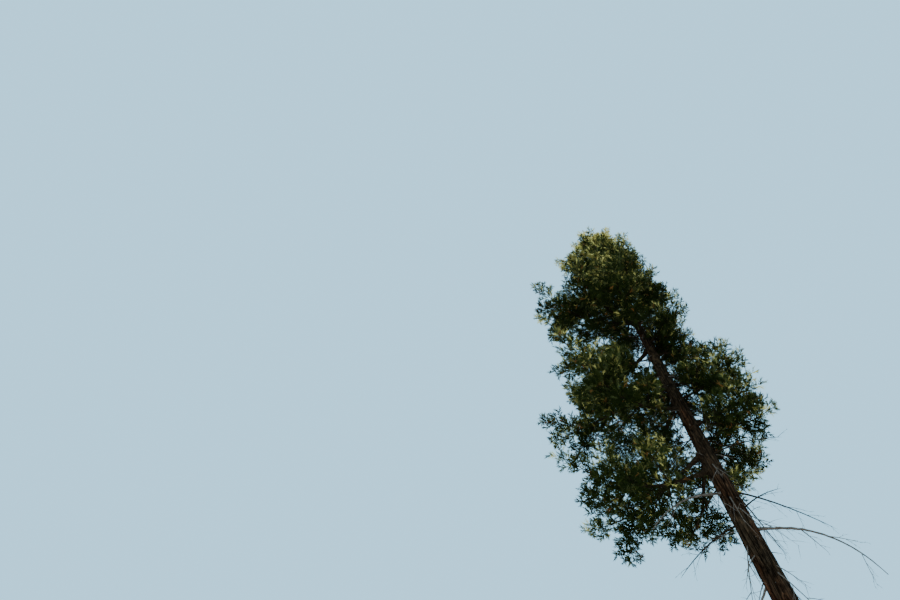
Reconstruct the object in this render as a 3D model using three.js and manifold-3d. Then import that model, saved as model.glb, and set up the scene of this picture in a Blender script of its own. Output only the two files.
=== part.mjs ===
// A forest-grown giant sequoia: a straight tapering trunk with a fluted root flare, boughs that
// sag and turn up at their ends, clumped masses of scale-leaved sprays, and bare dead limbs below
// the living crown. Everything is in millimetres, with +Z up, and the origin is at the middle of
// the flat cut at ground level. -X is the open side where the crown is widest, and -Y the near
// side, where the trunk shows between the lower limbs.
import * as THREE from "three";
import { mergeVertices } from "three/addons/utils/BufferGeometryUtils.js";
import Module from "manifold-3d";

const wasm = await Module();
wasm.setup();

// Driving dimensions. The tree stands 40 m tall, at 0.8 of its real size.
const HEIGHT = 40000;
const CLEARANCE = 0.3;
const SPACE_MARGIN = 6;

// Where each kind of limb's own stream of random numbers starts.
const LIVE_SEED = 20000;
const DEAD_SEED = 40000;
const MASS_SEED = 100000;
const DEAD_TWIG_SEED = 180000;

// Trunk: taper above the flare, root flare, and the flutes between its buttresses.
const STEM_RADIUS = 380;
const STEM_TAPER = 0.75;
const TIP_RADIUS = 9;
const TRUNK_TOP = 39500;
const FLARE_RADIUS = 390;
const FLARE_HEIGHT = 950;
const FLUTE_HEIGHT = 1500;
const TRUNK_SIDES = 24;
const TRUNK_LEVELS = [0, 350, 800, 1500, 2600, 4500, 8000, 12500, 17500, 22500, 27500, 32000, 36000, 38500];
const SEAT_DEPTH = 500;

// Flutes round the root flare: [waves round the trunk, depth, phase].
const FLUTES = [[6, 0.085, 0.4], [4, 0.06, 2.1]];

// Crown outline: [height, reach from the trunk's axis] on each side.
const OPEN_SIDE = [
  [14000, 4200], [17000, 5200], [21500, 5900], [24500, 5400], [26200, 6000],
  [29000, 5500], [32500, 5200], [36500, 2800], [40000, 700],
];
const SHUT_SIDE = [
  [17000, 2600], [20500, 2900], [23000, 2300], [25000, 1600], [27000, 2400],
  [33000, 2100], [36000, 1600], [40000, 400],
];
const NEAR_SIDE = [
  [20000, 4200], [24500, 4700], [27000, 4400], [30000, 3500], [34000, 2200],
  [38000, 900], [40000, 200],
];
const FAR_SIDE = [[15500, 4000], [19500, 4800], [25000, 4900], [31000, 3900], [36000, 2300], [40000, 700]];

// Lowest living bough on each side, where it leaves the trunk.
const LIVE_BASE = { open: 15700, shut: 18200, near: 22400, far: 17500 };

// Living limbs are set round the trunk by the golden angle. The lowest of them leave a gap on the
// near side, where the trunk is seen bare to well inside the crown.
const GOLDEN_ANGLE = THREE.MathUtils.degToRad(137.508);
const FIRST_AZIMUTH = THREE.MathUtils.degToRad(200);
const LIVE_LIMBS = 40;
const NEAR_AZIMUTH = THREE.MathUtils.degToRad(270);
const NEAR_GAP = [THREE.MathUtils.degToRad(-45), THREE.MathUtils.degToRad(75)];
const NEAR_GAP_LIMBS = 10;
const HIGHEST_LIVE = 38650;
const LIVE_CROWDING = 1.3;
const SLOPE_LOW = -0.36;
const SLOPE_HIGH = 0.75;
const SLOPE_BEND = 1.3;
const SLOPE_SPREAD = 0.06;
const UPTURN = 0.3;
const SWEEP = 0.22;
const REACH_SPREAD = [0.92, 1];
const SHORTEST_REACH = 700;
const REACH_PASSES = 6;
const REACH_STEP = 0.7;

// Dead limbs hang from the bare trunk below the crown.
const DEAD_LIMBS = 6;
const FIRST_DEAD_AZIMUTH = THREE.MathUtils.degToRad(190);
const LOWEST_DEAD = 8200;
const HIGHEST_DEAD = 15400;
const DEAD_REACH = [1400, 2900];
const DEAD_REACH_SPREAD = [0.85, 1.05];
const DEAD_SLOPE = -0.3;
const DEAD_DROOP = -0.3;
const DEAD_SWEEP = 0.45;
const DEAD_RADIUS_SHARE = 0.016;
const THINNEST_DEAD = 26;
const DEAD_TIP_RADIUS = 10;
const DEAD_SIDES = 4;
const DEAD_STEPS = 5;
const DEAD_TWIGS = 3;
const DEAD_TWIG_PLACES = [0.35, 0.95];
const DEAD_TWIG_SPREAD = [0.5, 0.9];
const DEAD_TWIG_DROOP = -0.3;
const DEAD_TWIG_LENGTH = 0.28;
const DEAD_TWIG_RADIUS = 0.6;

// A limb's own section and the share of it that is a separate bough.
const LIMB_RADIUS_SHARE = 0.021;
const THINNEST_LIMB = 32;
const LIMB_TIP_RADIUS = 18;
const LIMB_START = 0.02;
const LIMB_SIDES = 6;
const BOUGH_STEPS = 3;
const BOUGH_SHARE = 0.34;
const SHORTEST_BOUGH = 3550;
const STEM_SIDES = 3;
const STEM_STEPS = 3;
const STEM_END = 0.97;

// Foliage: twigs round the stem, a spray along each twig, and a core in the dense masses.
const MASS_HALF_WIDTH = 0.48;
const WIDEST_MASS = 2200;
const NARROWEST_MASS = 1150;
const MASS_TALLNESS = 1.05;
const MASS_NARROWING = 0.55;
const MASS_OVERHANG = 0.55;
const TWIG_COUNT = [5, 7];
const TWIG_SPREAD = [0.8, 1.25];
const TWIG_LENGTH = [0.85, 1];
const FIRST_TWIG = 0.24;
const LAST_TWIG = 0.9;
const TWIG_RADIUS_SHARE = 0.5;
const SPRAY_POINTS = 8;
const LONGEST_SPRAY = 0.88;
const SPRAY_SHARE = 0.95;
const SPRAY_WIDTH = 0.95;
const SPRAY_THICKNESS = 0.11;
const SPRAY_MIDDLE = 0.46;
const SPRAY_ROLL = 0.8;
const LEADER_SINK = 0.3;
const DENSE_ABOVE = 19000;
const CORE_WIDTH = 0.42;
const CORE_DEPTH = 0.44;
const CORE_LUMP = 0.22;
const CORE_WAVES = [5, 4];

// A mass keeps to its own space, measured from marks along its stem.
const SPACE_MARKS = 9;
const FIRST_MARK = 0.15;
const SPACE_SHARE = 0.6;

// Outline of a spray from its tip round to its root: [share of length, share of half width].
const SPRAY_OUTLINE = [[1, 0], [0.72, 0.7], [0.55, 0.42], [0.34, 1], [0, 0]];

// Steps of the working: vertices this near are one, and a line's direction is taken over this share.
const MERGE_WITHIN = 1e-4;
const SHARE_STEP = 1e-3;
const NEARLY_UPRIGHT = 0.05;

const UP = new THREE.Vector3(0, 0, 1);
const FULL_TURN = 2 * Math.PI;

const COLOURS = {
  bark: { color: 0x5a4032, roughness: 0.95, metalness: 0 },
  boughBark: { color: 0x4d3b30, roughness: 0.95, metalness: 0 },
  deadWood: { color: 0x8d8378, roughness: 0.9, metalness: 0 },
  foliage: { color: 0x2f4425, roughness: 0.8, metalness: 0 },
};

// A repeatable stream of numbers from 0 to 1.
function seeded(seed) {
  let state = seed >>> 0;
  return () => {
    state = (state + 0x6d2b79f5) >>> 0;
    let mixed = Math.imul(state ^ (state >>> 15), state | 1);
    mixed ^= mixed + Math.imul(mixed ^ (mixed >>> 7), mixed | 61);
    return ((mixed ^ (mixed >>> 14)) >>> 0) / 4294967296;
  };
}

function between(low, high, share) {
  return low + (high - low) * share;
}

function within(range, share) {
  return between(range[0], range[1], share);
}

// Reads an outline of [height, value] pairs at a height.
function alongOutline(outline, height) {
  if (height <= outline[0][0]) return outline[0][1];
  for (let i = 1; i < outline.length; i++) {
    const [low, lowValue] = outline[i - 1];
    const [high, highValue] = outline[i];
    if (height <= high) return between(lowValue, highValue, (height - low) / (high - low));
  }
  return outline[outline.length - 1][1];
}

// Shares of the four sides in a direction round the trunk; they add up to one.
function sideShares(azimuth) {
  const x = Math.cos(azimuth);
  const y = Math.sin(azimuth);
  return {
    open: Math.min(x, 0) ** 2,
    shut: Math.max(x, 0) ** 2,
    near: Math.min(y, 0) ** 2,
    far: Math.max(y, 0) ** 2,
  };
}

function crownReach(height, azimuth) {
  const share = sideShares(azimuth);
  return (
    share.open * alongOutline(OPEN_SIDE, height) +
    share.shut * alongOutline(SHUT_SIDE, height) +
    share.near * alongOutline(NEAR_SIDE, height) +
    share.far * alongOutline(FAR_SIDE, height)
  );
}

function liveBase(azimuth) {
  const share = sideShares(azimuth);
  return Object.keys(LIVE_BASE).reduce((sum, side) => sum + share[side] * LIVE_BASE[side], 0);
}

// The trunk's radius at a height, without its flutes.
function trunkRadius(height) {
  const taper = STEM_RADIUS * Math.max(1 - height / HEIGHT, 0) ** STEM_TAPER;
  return Math.max(taper + FLARE_RADIUS * Math.exp(-height / FLARE_HEIGHT), TIP_RADIUS);
}

// A closed geometry as a solid that can be cut and joined.
function solidOf(geometry) {
  const bare = geometry.clone();
  for (const name of Object.keys(bare.attributes)) {
    if (name !== "position") bare.deleteAttribute(name);
  }
  const merged = mergeVertices(bare, MERGE_WITHIN);
  return new wasm.Manifold(
    new wasm.Mesh({
      numProp: 3,
      vertProperties: new Float32Array(merged.attributes.position.array),
      triVerts: new Uint32Array(merged.index.array),
    }),
  );
}

function geometryOf(solid) {
  const made = solid.getMesh();
  const geometry = new THREE.BufferGeometry();
  geometry.setAttribute("position", new THREE.BufferAttribute(made.vertProperties, 3));
  geometry.setIndex(new THREE.BufferAttribute(made.triVerts, 1));
  geometry.computeVertexNormals();
  return geometry;
}

// Moves every vertex of a geometry to where place(point) says.
function reshape(geometry, place) {
  const position = geometry.attributes.position;
  const point = new THREE.Vector3();
  for (let i = 0; i < position.count; i++) {
    point.fromBufferAttribute(position, i);
    const moved = place(point);
    position.setXYZ(i, moved.x, moved.y, moved.z);
  }
  return geometry;
}

// How far the flutes push the trunk's side in or out, as a share of its radius.
function flutePush(azimuth, height) {
  const fade = Math.exp(-Math.max(height, 0) / FLUTE_HEIGHT);
  let push = 1;
  for (const [waves, depth, phase] of FLUTES) push += fade * depth * Math.cos(waves * azimuth + phase);
  return push;
}

// Trunk: a turned profile, pushed in and out at the foot to give buttresses. grow makes a
// slightly larger copy, which cuts the seats of the limbs.
function makeTrunk(grow) {
  const bottom = grow ? -SEAT_DEPTH : 0;
  const profile = [new THREE.Vector2(0, bottom)];
  for (const level of TRUNK_LEVELS) {
    const height = level === 0 ? bottom : level;
    profile.push(new THREE.Vector2(trunkRadius(level) + grow, height));
  }
  profile.push(new THREE.Vector2(TIP_RADIUS + grow, TRUNK_TOP));
  profile.push(new THREE.Vector2(0, TRUNK_TOP));
  const turned = new THREE.LatheGeometry(profile, TRUNK_SIDES);
  turned.rotateX(Math.PI / 2);
  reshape(turned, (point) => {
    const push = flutePush(Math.atan2(point.y, point.x), point.z);
    return new THREE.Vector3(point.x * push, point.y * push, point.z);
  });
  return solidOf(turned);
}

// A limb's line: out from the trunk's axis by its slope, bending up or down towards its end.
function limbPoint(limb, share) {
  const out = limb.reach * share;
  const azimuth = limb.azimuth + limb.sweep * share * share;
  const rise = limb.reach * (limb.slope * share + limb.bend * share ** 3);
  return new THREE.Vector3(out * Math.cos(azimuth), out * Math.sin(azimuth), limb.height + rise);
}

function limbDirection(limb, share) {
  return limbPoint(limb, share + SHARE_STEP).sub(limbPoint(limb, share - SHARE_STEP)).normalize();
}

function limbRadius(limb, share) {
  return between(limb.baseRadius, limb.tipRadius, share);
}

function massHalfWidth(reach) {
  return Math.min(Math.max(reach * MASS_HALF_WIDTH, NARROWEST_MASS), WIDEST_MASS);
}

// How far a limb may run so that the spray at its tip ends on the crown's outline.
function livingReach(height, azimuth, rise) {
  let reach = crownReach(height, azimuth);
  for (let pass = 0; pass < REACH_PASSES; pass++) {
    const overhang = massHalfWidth(reach) * MASS_OVERHANG;
    const outline = crownReach(height + reach * rise, azimuth);
    reach = Math.max(between(reach, outline - overhang, REACH_STEP), SHORTEST_REACH);
  }
  return reach;
}

// The golden angle's direction. A low limb that would fill the gap is set at its edge instead, on
// the hand of the near side where it would have grown.
function liveAzimuth(i) {
  const azimuth = FIRST_AZIMUTH + i * GOLDEN_ANGLE;
  const turns = Math.round((azimuth - NEAR_AZIMUTH) / FULL_TURN);
  const fromNear = azimuth - NEAR_AZIMUTH - turns * FULL_TURN;
  const inGap = i < NEAR_GAP_LIMBS && fromNear > NEAR_GAP[0] && fromNear < NEAR_GAP[1];
  return inGap ? NEAR_AZIMUTH + NEAR_GAP[fromNear > 0 ? 1 : 0] : azimuth;
}

// The living limbs, from the base of the living crown on their own side to the top.
function placeLiving() {
  const limbs = [];
  for (let i = 0; i < LIVE_LIMBS; i++) {
    const random = seeded(LIVE_SEED + i);
    const azimuth = liveAzimuth(i);
    const share = (i / (LIVE_LIMBS - 1)) ** LIVE_CROWDING;
    const height = between(liveBase(azimuth), HIGHEST_LIVE, share);
    const spread = between(-SLOPE_SPREAD, SLOPE_SPREAD, random());
    const slope = between(SLOPE_LOW, SLOPE_HIGH, share ** SLOPE_BEND) + spread;
    const reach = livingReach(height, azimuth, slope + UPTURN) * within(REACH_SPREAD, random());
    const sweep = SWEEP * between(-1, 1, random());
    const baseRadius = Math.max(reach * LIMB_RADIUS_SHARE, THINNEST_LIMB);
    const tipRadius = LIMB_TIP_RADIUS;
    const stemFrom = reach >= SHORTEST_BOUGH ? BOUGH_SHARE : 0;
    const line = { height, azimuth, slope, bend: UPTURN, sweep, reach };
    limbs.push({ index: i, ...line, baseRadius, tipRadius, stemFrom });
  }
  return limbs;
}

// The dead limbs, from the lowest, which is broken off shortest.
function placeDead() {
  const limbs = [];
  for (let i = 0; i < DEAD_LIMBS; i++) {
    const random = seeded(DEAD_SEED + i);
    const share = i / (DEAD_LIMBS - 1);
    const height = between(LOWEST_DEAD, HIGHEST_DEAD, share);
    const azimuth = FIRST_DEAD_AZIMUTH - i * GOLDEN_ANGLE;
    const reach = within(DEAD_REACH, share) * within(DEAD_REACH_SPREAD, random());
    const slope = DEAD_SLOPE + between(-SLOPE_SPREAD, SLOPE_SPREAD, random());
    const sweep = DEAD_SWEEP * between(-1, 1, random());
    const baseRadius = Math.max(reach * DEAD_RADIUS_SHARE, THINNEST_DEAD);
    const tipRadius = DEAD_TIP_RADIUS;
    limbs.push({ index: i, height, azimuth, slope, bend: DEAD_DROOP, sweep, reach, baseRadius, tipRadius });
  }
  return limbs;
}

// A frame across a direction: side is level wherever it can be, and top is square to both.
function frameAcross(direction) {
  const level = new THREE.Vector3().crossVectors(direction, UP);
  const side = level.length() > NEARLY_UPRIGHT ? level.normalize() : new THREE.Vector3(1, 0, 0);
  const top = new THREE.Vector3().crossVectors(side, direction).normalize();
  return { side, top };
}

// A tapering limb between two shares of its line, with flat ends square to the line.
function makeLimb(limb, from, to, sides, steps) {
  const geometry = new THREE.CylinderGeometry(1, 1, 1, sides, steps);
  reshape(geometry, (point) => {
    const share = between(from, to, point.y + 0.5);
    const { side, top } = frameAcross(limbDirection(limb, share));
    const radius = limbRadius(limb, share);
    return limbPoint(limb, share)
      .addScaledVector(side, point.x * radius)
      .addScaledVector(top, point.z * radius);
  });
  return solidOf(geometry);
}

// A straight three-sided twig that narrows to a point.
function makeTwig(start, direction, length, radius) {
  const cone = new THREE.ConeGeometry(radius, length, 3, 1);
  cone.translate(0, length / 2, 0);
  const turn = new THREE.Quaternion().setFromUnitVectors(new THREE.Vector3(0, 1, 0), direction);
  cone.applyQuaternion(turn);
  cone.translate(start.x, start.y, start.z);
  return solidOf(cone);
}

// A toothed blade, thickest in its middle, that grows from a root along a direction.
function makeSpray(root, direction, across, length) {
  const blade = new THREE.SphereGeometry(1, SPRAY_POINTS, 2);
  const normal = new THREE.Vector3().crossVectors(across, direction).normalize();
  const half = SPRAY_POINTS / 2;
  reshape(blade, (point) => {
    if (Math.abs(point.y) > 0.5) {
      return root
        .clone()
        .addScaledVector(direction, SPRAY_MIDDLE * length)
        .addScaledVector(normal, 0.5 * length * SPRAY_THICKNESS * Math.sign(point.y));
    }
    const turn = Math.atan2(point.z, point.x) / (Math.PI / half);
    const corner = Math.round(Math.abs(turn));
    const [along, out] = SPRAY_OUTLINE[corner];
    return root
      .clone()
      .addScaledVector(direction, along * length)
      .addScaledVector(across, 0.5 * out * Math.sign(turn) * length * SPRAY_WIDTH);
  });
  return solidOf(blade);
}

// Whether two boxes come within a gap of each other.
function boxesNear(a, b, gap) {
  for (let i = 0; i < 3; i++) {
    if (a.min[i] > b.max[i] + gap || b.min[i] > a.max[i] + gap) return false;
  }
  return true;
}

// Whether a piece comes closer to any obstacle than the margin round a mass.
function touches(piece, obstacles) {
  const box = piece.boundingBox();
  const near = obstacles.filter((other) => boxesNear(box, other.box, SPACE_MARGIN));
  return near.some((other) => piece.minGap(other.solid, SPACE_MARGIN) < SPACE_MARGIN);
}

// Points along a limb's stem, from which the limits of its space are measured.
function stemMarks(limb) {
  const marks = [];
  for (let i = 0; i < SPACE_MARKS; i++) {
    const from = Math.max(limb.stemFrom, FIRST_MARK);
    marks.push(limbPoint(limb, between(from, 1, i / (SPACE_MARKS - 1))));
  }
  return marks;
}

function gapToStem(point, limb) {
  return Math.min(...limb.marks.map((mark) => mark.distanceTo(point)));
}

// A mass keeps to the points round its own stem, and stops short of any other stem.
function inOwnSpace(point, limb, limbs) {
  const own = gapToStem(point, limb);
  return limbs.every((other) => other === limb || gapToStem(point, other) > own * SPACE_SHARE);
}

// The twigs of one mass, wound round its stem: where each starts, its direction, and its length
// to the tip of its spray.
function twigsOf(limb, random) {
  const twigs = [];
  const halfWidth = massHalfWidth(limb.reach);
  const count = Math.round(within(TWIG_COUNT, halfWidth / WIDEST_MASS));
  const phase = random() * FULL_TURN;
  for (let k = 0; k < count; k++) {
    const along = (k + 0.5) / count;
    const share = between(Math.max(limb.stemFrom, FIRST_TWIG), LAST_TWIG, along);
    const forward = limbDirection(limb, share);
    const { side, top } = frameAcross(forward);
    const spread = within(TWIG_SPREAD, random());
    const roll = phase + k * GOLDEN_ANGLE;
    const direction = forward
      .clone()
      .multiplyScalar(Math.cos(spread))
      .addScaledVector(side, Math.sin(spread) * Math.cos(roll))
      .addScaledVector(top, Math.sin(spread) * Math.sin(roll) * MASS_TALLNESS)
      .normalize();
    const fullness = Math.sqrt(1 - MASS_NARROWING * along * along);
    const length = halfWidth * fullness * within(TWIG_LENGTH, random());
    twigs.push({ start: limbPoint(limb, share), direction, length, radius: limbRadius(limb, share) });
  }
  return twigs;
}

// The inner body of a dense mass: a lumpy ball drawn out along the outer stem.
function makeCore(limb, random) {
  const ball = new THREE.IcosahedronGeometry(1, 0);
  const from = Math.max(limb.stemFrom, FIRST_TWIG);
  const middleShare = between(from, 1, 0.5);
  const middle = limbPoint(limb, middleShare);
  const forward = limbDirection(limb, middleShare);
  const { side, top } = frameAcross(forward);
  const halfLength = 0.5 * limb.reach * (LAST_TWIG - from);
  const halfWidth = massHalfWidth(limb.reach);
  const phase = random() * FULL_TURN;
  reshape(ball, (point) => {
    const waves = Math.sin(CORE_WAVES[0] * point.x + phase) * Math.cos(CORE_WAVES[1] * point.y - phase);
    const lump = 1 + CORE_LUMP * waves;
    return middle
      .clone()
      .addScaledVector(forward, point.x * halfLength * lump)
      .addScaledVector(top, point.y * halfWidth * CORE_DEPTH * lump)
      .addScaledVector(side, point.z * halfWidth * CORE_WIDTH * lump);
  });
  return solidOf(ball);
}

// The stem's own end goes on as a spray, sunk into it by a share of its length.
function leaderOf(limb) {
  const length = massHalfWidth(limb.reach) * SPRAY_SHARE * (1 - LEADER_SINK);
  return { start: limbPoint(limb, STEM_END), direction: limbDirection(limb, STEM_END), length, radius: 0 };
}

// A twig with the blade along its outer part. The leader's twig is the stem itself.
function growSpray(twig, blade) {
  const { side, top } = frameAcross(twig.direction);
  const across = side.multiplyScalar(Math.cos(blade.roll)).addScaledVector(top, Math.sin(blade.roll));
  const foot = twig.length - blade.length;
  const root = twig.start.clone().addScaledVector(twig.direction, foot);
  const pieces = [makeSpray(root, twig.direction, across, blade.length)];
  if (twig.radius > 0) {
    const reach = foot + SPRAY_MIDDLE * blade.length;
    pieces.push(makeTwig(twig.start, twig.direction, reach, twig.radius * TWIG_RADIUS_SHARE));
  }
  return pieces;
}

// One mass of foliage: stem, twigs and sprays fused into one body.
function makeMass(limb, limbs, obstacles, seat) {
  const random = seeded(MASS_SEED + limb.index);
  const free = (piece) => !touches(piece, obstacles);
  const from = limb.stemFrom > 0 ? limb.stemFrom + CLEARANCE / limb.reach : LIMB_START;
  const stem = makeLimb(limb, from, STEM_END, STEM_SIDES, STEM_STEPS);
  const pieces = [limb.stemFrom > 0 ? stem : stem.subtract(seat)];
  if (limb.height > DENSE_ABOVE) {
    const core = makeCore(limb, random);
    if (free(core)) pieces.push(core);
  }
  const longest = massHalfWidth(limb.reach) * SPRAY_SHARE;
  for (const twig of [...twigsOf(limb, random), leaderOf(limb)]) {
    const length = twig.radius > 0 ? Math.min(longest, twig.length * LONGEST_SPRAY) : longest;
    const blade = { length, roll: SPRAY_ROLL * between(-1, 1, random()) };
    const tip = twig.start.clone().addScaledVector(twig.direction, twig.length);
    if (!inOwnSpace(tip, limb, limbs)) continue;
    const grown = growSpray(twig, blade);
    if (grown.every(free)) pieces.push(...grown);
  }
  return largestBody(wasm.Manifold.union(pieces));
}

function largestBody(solid) {
  return solid.decompose().reduce((best, body) => (body.volume() > best.volume() ? body : best));
}

// A dead limb: one bare tapering limb with a few short side twigs.
function makeDeadLimb(limb, seat) {
  const random = seeded(DEAD_TWIG_SEED + limb.index);
  const pieces = [makeLimb(limb, LIMB_START, 1, DEAD_SIDES, DEAD_STEPS)];
  for (let k = 0; k < DEAD_TWIGS; k++) {
    const share = within(DEAD_TWIG_PLACES, (k + 0.5) / DEAD_TWIGS);
    const hand = (k % 2) * 2 - 1;
    const forward = limbDirection(limb, share);
    const direction = forward
      .clone()
      .addScaledVector(frameAcross(forward).side, hand * within(DEAD_TWIG_SPREAD, random()))
      .addScaledVector(UP, DEAD_TWIG_DROOP)
      .normalize();
    const radius = limbRadius(limb, share) * DEAD_TWIG_RADIUS;
    pieces.push(makeTwig(limbPoint(limb, share), direction, limb.reach * DEAD_TWIG_LENGTH, radius));
  }
  return largestBody(wasm.Manifold.union(pieces).subtract(seat));
}

function named(name, solid, finish) {
  const mesh = new THREE.Mesh(geometryOf(solid), new THREE.MeshStandardMaterial(COLOURS[finish]));
  mesh.name = name;
  return mesh;
}

function numbered(kind, limb) {
  return `${kind}_${String(limb.index + 1).padStart(2, "0")}`;
}

// The whole tree. Each solid is kept as an obstacle, so that later ones stay clear of it.
function buildTree() {
  const tree = new THREE.Group();
  const obstacles = [];
  const add = (name, solid, finish) => {
    tree.add(named(name, solid, finish));
    obstacles.push({ solid, box: solid.boundingBox() });
  };
  const trunk = makeTrunk(0);
  const seat = makeTrunk(CLEARANCE);
  add("trunk", trunk, "bark");
  for (const limb of placeDead()) add(numbered("dead_limb", limb), makeDeadLimb(limb, seat), "deadWood");
  const limbs = placeLiving();
  for (const limb of limbs) limb.marks = stemMarks(limb);
  for (const limb of limbs.filter((each) => each.stemFrom > 0)) {
    const bough = makeLimb(limb, LIMB_START, limb.stemFrom, LIMB_SIDES, BOUGH_STEPS).subtract(seat);
    add(numbered("bough", limb), bough, "boughBark");
  }
  for (const limb of limbs) {
    add(numbered("foliage", limb), makeMass(limb, limbs, obstacles, seat), "foliage");
  }
  return tree;
}

export default buildTree();
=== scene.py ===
"""A forest-grown giant sequoia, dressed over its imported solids.

The limbs and twigs follow the rule of the part's source, written again here in metres. Twiglets,
sprays and leaves carry the same rule on to finer sizes within the same reach.
"""
import math
from dataclasses import dataclass

import bpy
import numpy as np
from mathutils import Matrix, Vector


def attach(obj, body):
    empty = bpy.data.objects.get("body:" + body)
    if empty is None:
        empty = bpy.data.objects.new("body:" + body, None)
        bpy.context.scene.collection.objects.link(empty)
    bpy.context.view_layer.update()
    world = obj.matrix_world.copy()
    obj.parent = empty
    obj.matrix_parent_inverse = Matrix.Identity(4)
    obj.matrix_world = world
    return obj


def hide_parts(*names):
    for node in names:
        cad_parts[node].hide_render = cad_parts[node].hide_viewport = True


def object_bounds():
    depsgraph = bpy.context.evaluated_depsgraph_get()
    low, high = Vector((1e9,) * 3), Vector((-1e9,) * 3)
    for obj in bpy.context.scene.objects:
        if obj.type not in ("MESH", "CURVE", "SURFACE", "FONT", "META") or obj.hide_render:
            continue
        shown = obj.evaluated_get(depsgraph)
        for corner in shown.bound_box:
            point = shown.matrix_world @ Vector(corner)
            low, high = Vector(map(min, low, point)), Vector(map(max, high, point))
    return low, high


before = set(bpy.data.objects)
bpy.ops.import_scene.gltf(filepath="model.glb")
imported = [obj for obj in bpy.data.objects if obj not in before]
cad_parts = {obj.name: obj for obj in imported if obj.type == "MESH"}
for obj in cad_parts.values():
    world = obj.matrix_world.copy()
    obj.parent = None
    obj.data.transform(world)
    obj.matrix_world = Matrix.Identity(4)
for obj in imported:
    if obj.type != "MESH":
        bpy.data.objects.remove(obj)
cad_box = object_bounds()

# The source's rule, in metres.
HEIGHT = 40.0
LIVE_SEED = 20000
DEAD_SEED = 40000
MASS_SEED = 100000
DEAD_TWIG_SEED = 180000

STEM_RADIUS = 0.38
STEM_TAPER = 0.75
TIP_RADIUS = 0.009
TRUNK_TOP = 39.5
FLARE_RADIUS = 0.39
FLARE_HEIGHT = 0.95
FLUTE_HEIGHT = 1.5
FLUTES = ((6, 0.085, 0.4), (4, 0.06, 2.1))

OPEN_SIDE = (
    (14.0, 4.2), (17.0, 5.2), (21.5, 5.9), (24.5, 5.4), (26.2, 6.0),
    (29.0, 5.5), (32.5, 5.2), (36.5, 2.8), (40.0, 0.7),
)
SHUT_SIDE = (
    (17.0, 2.6), (20.5, 2.9), (23.0, 2.3), (25.0, 1.6), (27.0, 2.4),
    (33.0, 2.1), (36.0, 1.6), (40.0, 0.4),
)
NEAR_SIDE = (
    (20.0, 4.2), (24.5, 4.7), (27.0, 4.4), (30.0, 3.5), (34.0, 2.2),
    (38.0, 0.9), (40.0, 0.2),
)
FAR_SIDE = ((15.5, 4.0), (19.5, 4.8), (25.0, 4.9), (31.0, 3.9), (36.0, 2.3), (40.0, 0.7))
CROWN_SIDES = (OPEN_SIDE, SHUT_SIDE, NEAR_SIDE, FAR_SIDE)
LIVE_BASES = (15.7, 18.2, 22.4, 17.5)

GOLDEN_ANGLE = math.radians(137.508)
FIRST_AZIMUTH = math.radians(200)
LIVE_LIMBS = 40
NEAR_AZIMUTH = math.radians(270)
NEAR_GAP = (math.radians(-45), math.radians(75))
NEAR_GAP_LIMBS = 10
HIGHEST_LIVE = 38.65
LIVE_CROWDING = 1.3
SLOPE_LOW = -0.36
SLOPE_HIGH = 0.75
SLOPE_BEND = 1.3
SLOPE_SPREAD = 0.06
UPTURN = 0.3
SWEEP = 0.22
REACH_SPREAD = (0.92, 1.0)
SHORTEST_REACH = 0.7
REACH_PASSES = 6
REACH_STEP = 0.7

DEAD_LIMBS = 6
FIRST_DEAD_AZIMUTH = math.radians(190)
LOWEST_DEAD = 8.2
HIGHEST_DEAD = 15.4
DEAD_REACH = (1.4, 2.9)
DEAD_REACH_SPREAD = (0.85, 1.05)
DEAD_SLOPE = -0.3
DEAD_DROOP = -0.3
DEAD_SWEEP = 0.45
DEAD_RADIUS_SHARE = 0.016
THINNEST_DEAD = 0.026
DEAD_TIP_RADIUS = 0.01
DEAD_TWIGS = 3
DEAD_TWIG_PLACES = (0.35, 0.95)
DEAD_TWIG_SPREAD = (0.5, 0.9)
DEAD_TWIG_DROOP = -0.3
DEAD_TWIG_LENGTH = 0.28
DEAD_TWIG_RADIUS = 0.6

LIMB_RADIUS_SHARE = 0.021
THINNEST_LIMB = 0.032
LIMB_TIP_RADIUS = 0.018
LIMB_START = 0.02
BOUGH_SHARE = 0.34
SHORTEST_BOUGH = 3.55
STEM_END = 0.97

MASS_HALF_WIDTH = 0.48
WIDEST_MASS = 2.2
NARROWEST_MASS = 1.15
MASS_TALLNESS = 1.05
MASS_NARROWING = 0.55
MASS_OVERHANG = 0.55
TWIG_COUNT = (5, 7)
TWIG_SPREAD = (0.8, 1.25)
TWIG_LENGTH = (0.85, 1.0)
FIRST_TWIG = 0.24
LAST_TWIG = 0.9
TWIG_RADIUS_SHARE = 0.5
SPRAY_SHARE = 0.95
SPRAY_ROLL = 0.8
LEADER_SINK = 0.3
DENSE_ABOVE = 19.0
SPACE_MARKS = 9
FIRST_MARK = 0.15
SPACE_SHARE = 0.6
SHARE_STEP = 1e-3
NEARLY_UPRIGHT = 0.05

# What the finer twigs, sprays and leaves add to the rule.
WOOD_SEED = 7
DEAD_WOOD_SEED = 8
FOLIAGE_SEED = 9
TWIGLET_SPACING = 0.08
OPEN_TWIGLET_SPACING = 0.1
TWIGLET_PLACES = (0.14, 1.0)
TWIGLET_SPREAD = (0.75, 1.15)
TWIGLET_LENGTH = 0.46
TWIGLET_LENGTH_SPREAD = (0.75, 1.05)
TWIGLET_NARROWING = 0.6
TWIGLET_FLATNESS = 0.75
TWIGLET_RISE = 0.1
TWIGLET_BEND = 0.12
TWIGLET_RADIUS = (0.004, 0.008)
TWIG_TAPER = 0.8
CLEAR_OF_TRUNK = 1.05
SPRAY_SPACING = 0.035
SPRAY_PLACES = (0.12, 1.0)
SPRAY_SPREAD = (0.45, 1.1)
SPRAY_LENGTH = (0.12, 0.21)
SPRAY_RISE = 0.3
SPRAY_BEND = 0.12
LEAVES = 5
LEAF_FACES = 2
LEAF_PLACES = (0.1, 0.85)
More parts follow.
